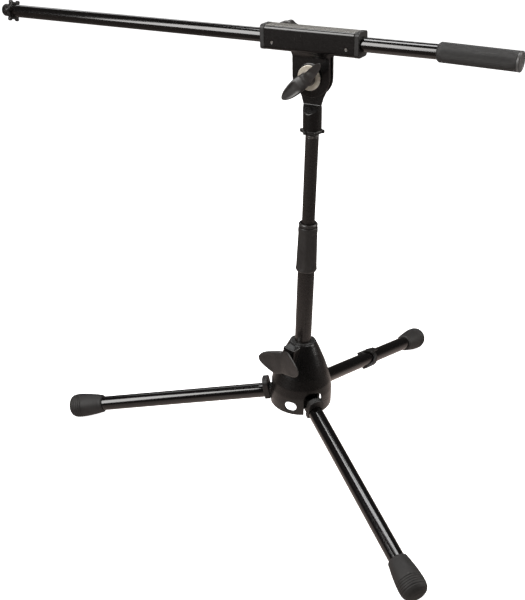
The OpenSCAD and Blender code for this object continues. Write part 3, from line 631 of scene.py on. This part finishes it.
# ---------- boom ----------
v, f = lathe(dense(tube_profile(8, 6.7, BOOM_FRONT + BOOM_BACK - 4, 0.35), 14, True), 96, True)
done(mesh_object("boom_skin", v, f, along_boom(-BOOM_FRONT)), "boom", "tube_black", ["boom_tube"])


def thread(r0, depth, pitch, z0, z1, n=120, per=12):
    """A true helical thread between two heights, running out at both ends."""
    zs = np.linspace(z0, z1, int((z1 - z0) / pitch * per) + 1)
    verts, rings = [], []
    ang = np.arange(n) * 2 * math.pi / n
    for z in zs:
        ph = (z / pitch - ang / (2 * math.pi)) % 1.0
        vee = np.abs(ph * 2 - 1)
        run_out = min(1.0, (z - z0) / 0.9, (z1 - z) / 0.9)
        r = r0 - depth * np.clip(vee * 1.15 - 0.08, 0, 1)
        r = np.minimum(r, r0 - depth * (1 - max(0.0, run_out)))
        rings.append(list(range(len(verts), len(verts) + n)))
        verts += list(zip(r * np.cos(ang), r * np.sin(ang), np.full(n, z)))
    faces = []
    for a, b in zip(rings, rings[1:]):
        faces += [(a[j], a[(j + 1) % n], b[(j + 1) % n], b[j]) for j in range(n)]
    lo, hi = len(verts), len(verts) + 1
    verts += [(0, 0, z0), (0, 0, z1)]
    faces += [(lo, rings[0][(j + 1) % n], rings[0][j]) for j in range(n)]
    faces += [(hi, rings[-1][j], rings[-1][(j + 1) % n]) for j in range(n)]
    return verts, faces


collar = lathe(dense(fillet([(0, -4.9), (THREAD_D / 2, -4.9), (THREAD_D / 2, 0), (6.68, 0.0), (6.68, 20), (0, 20)], [0, 0.5, 0.3, 0.1, 0.5, 0], 4), 2.0), 96)
neck = lathe([(0, -6.0), (THREAD_D / 2 - 0.8, -6.0), (THREAD_D / 2 - 0.8, -4.5), (0, -4.5)], 96)
screw = thread(THREAD_D / 2, 0.55, 0.941, -THREAD_LEN, -5.7)
done(joined("mic_thread", [collar, neck, screw], along_boom(-BOOM_FRONT)), "boom", "thread_black", ["mic_thread_stud"], 40)
star_ring("mic_star_ring", along_boom(-BOOM_FRONT - 4.4), "mic_ring", "lock_ring_black", "mic_lock_ring", THREAD_D / 2 + 0.05, 11.2, 15, 4)

# the grip sags a little on its tube, turned about its inner end
DROOP = RY(1.2)
grip_m = along_boom(BOOM_BACK - GRIP_LEN) @ DROOP
gr = GRIP_D / 2


def ribs(a, r, z):
    if r < gr - 0.9 or z < 3.2 or z > GRIP_LEN - 4.6:
        return r
    fade = min(1, (z - 3.2) / 1.5, (GRIP_LEN - 4.6 - z) / 1.5)
    return r - 0.22 * fade * (0.5 + 0.5 * math.cos(60 * a)) ** 0.7


prof = [(8.02, 0.3), (gr - 1.8, 0), (gr, 2.2), (gr, GRIP_LEN - 3.4), (8.02, GRIP_LEN - 3.4)]
prof = dense(fillet(prof, [0.1, 0.5, 0.8, 0.2, 0.1], 4, True), 2.4, True)
v, f = lathe(prof, 480, True, ribs)
done(mesh_object("grip_skin", v, f, grip_m), "boom", "grip_rubber", ["grip_sleeve"], 45)
L = GRIP_LEN
prof = [(0, L - 7.0), (6.6, L - 7.0), (6.6, L - 3.3), (gr, L - 3.3), (gr + 0.2, L - 0.9), (gr - 0.5, L), (gr - 2, L), (gr - 2.6, L - 0.5), (0, L - 0.9)]
prof = dense(fillet(prof, [0, 0.3, 0.1, 0.25, 0.5, 0.4, 0.5, 0.4, 0], 4), 0.9)
v, f = lathe(prof, 128)
# painted highlight: the cap is given a lighter grey in place of the reflection on its end face
done(mesh_object("grip_cap", v, f, grip_m), "boom", "grip_rubber", ["grip_end_cap"], 45, look="cap_grey_painted_highlight")

# ---------- CAD nodes that stay: hidden or simple turned parts ----------
SLOT = {s["node"]: s["material_slot"] for s in frame["record"]["subparts"]}
for name, ob in NODES.items():
    if ob.hide_render:
        continue
    w = ob.modifiers.new("weld", "WELD")
    w.merge_threshold = 2e-6
    b = ob.modifiers.new("bevel", "BEVEL")
    b.width, b.segments, b.limit_method, b.angle_limit = 0.00018, 2, "ANGLE", math.radians(40)
    ob.data.materials.clear()
    look = "thread_black" if name == "mast_thread_stud" else SLOT[name]
    ob.data.materials.append(finish_of(look, True))

# ---------- floor ----------
me = bpy.data.meshes.new("floor")
me.from_pydata([(-14, -14, 0), (14, -14, 0), (14, 14, 0), (-14, 14, 0)], [], [(0, 1, 2, 3)])
floor = bpy.data.objects.new("floor", me)
SCENE.collection.objects.link(floor)
n = Nodes("pale_floor")
path = n.add("ShaderNodeLightPath")
tc = n.add("ShaderNodeTexCoord")
tint = n.mix(n.span(n.noise(tc.outputs["Object"], 3.0, 3.0), 0.35, 0.65), (0.90, 0.895, 0.89), (0.93, 0.925, 0.92))
lit = n.add("ShaderNodeBsdfDiffuse", Color=tint)
seen = n.math("MULTIPLY", path.outputs["Is Camera Ray"], 0.60)
glow = n.add("ShaderNodeEmission", Color=(1, 1, 1, 1), Strength=n.math("ADD", seen, 0.42))
both = n.add("ShaderNodeAddShader")
n.t.links.new(lit.outputs[0], both.inputs[0])
n.t.links.new(glow.outputs[0], both.inputs[1])
away = n.add("ShaderNodeVectorMath", Vector=tc.outputs["Object"])
away.operation = "LENGTH"
near = n.span(away.outputs["Value"], 0.12, 0.50, 0.80, 0.15)
warm = n.add("ShaderNodeEmission", Color=(1.0, 0.84, 0.76, 1), Strength=near)
pick = n.add("ShaderNodeMixShader")
n.t.links.new(path.outputs["Is Glossy Ray"], pick.inputs[0])
n.t.links.new(both.outputs[0], pick.inputs[1])
n.t.links.new(warm.outputs[0], pick.inputs[2])
n.t.links.new(pick.outputs[0], n.out.inputs[0])
me.materials.append(n.mat)

# ---------- camera ----------
AZ, EL, ROLL, DIST = math.radians(29.8943), math.radians(28.6077), math.radians(1.15), 1.19004
target = Vector((-0.044807, -0.031053, 0.218953))
back = Vector((math.sin(AZ) * math.cos(EL), -math.cos(AZ) * math.cos(EL), math.sin(EL)))
x = (-back).cross(Vector((0, 0, 1))).normalized()
y = x.cross(-back).normalized()
cr, sr = math.cos(ROLL), math.sin(ROLL)
xr, yr = cr * x + sr * y, -sr * x + cr * y
cam_data = bpy.data.cameras.new("camera")
cam_data.lens, cam_data.sensor_width, cam_data.sensor_fit = 930.04 * 36 / 600, 36, "AUTO"
cam_data.clip_start, cam_data.clip_end = 0.05, 60
cam = bpy.data.objects.new("camera", cam_data)
SCENE.collection.objects.link(cam)
m = Matrix.Identity(4)
for i in range(3):
    m[i][0], m[i][1], m[i][2] = xr[i], yr[i], back[i]
loc = target + back * DIST
m[0][3], m[1][3], m[2][3] = loc
cam.matrix_world = m
SCENE.camera = cam

# ---------- light ----------
world = bpy.data.worlds.new("studio")
SCENE.world = world
world.use_nodes = True
wt = world.node_tree
wt.nodes.clear()
out = wt.nodes.new("ShaderNodeOutputWorld")
bg1, bg2 = wt.nodes.new("ShaderNodeBackground"), wt.nodes.new("ShaderNodeBackground")
bg1.inputs[0].default_value, bg1.inputs[1].default_value = (1, 0.98, 0.96, 1), 0.045
bg2.inputs[0].default_value, bg2.inputs[1].default_value = (1, 1, 1, 1), 1.0
lp, mx = wt.nodes.new("ShaderNodeLightPath"), wt.nodes.new("ShaderNodeMixShader")
wt.links.new(lp.outputs["Is Camera Ray"], mx.inputs[0])
wt.links.new(bg1.outputs[0], mx.inputs[1])
wt.links.new(bg2.outputs[0], mx.inputs[2])
wt.links.new(mx.outputs[0], out.inputs[0])


def softbox(name, offset, size, watts, tint=(1, 1, 1)):
    """offset is (right, up, towards the camera) from the object's middle, in the camera's own axes."""
    light = bpy.data.lights.new(name, "AREA")
    light.shape, light.size, light.size_y, light.energy, light.color = "RECTANGLE", size[0], size[1], watts, tint
    ob = bpy.data.objects.new(name, light)
    mid = Vector((-0.04, 0, 0.3))
    flat = Vector((back.x, back.y, 0)).normalized()
    ob.location = mid + x * offset[0] + Vector((0, 0, offset[1])) + flat * offset[2]
    ob.rotation_mode = "QUATERNION"
    ob.rotation_quaternion = (mid - ob.location).to_track_quat("-Z", "Y")
    SCENE.collection.objects.link(ob)
    return ob


softbox("key_left", (-1.35, 0.85, 0.75), (1.0, 1.3), 34, (1.0, 0.985, 0.97))
softbox("side_right", (1.45, 0.75, 0.05), (0.45, 1.4), 17, (1.0, 0.97, 0.94))
softbox("top", (0.0, 1.55, -0.35), (1.5, 0.42), 17)
softbox("rear", (-0.3, 0.9, -1.5), (1.4, 0.5), 3.4)

SCENE.view_settings.view_transform = "Standard"
SCENE.view_settings.look = "None"
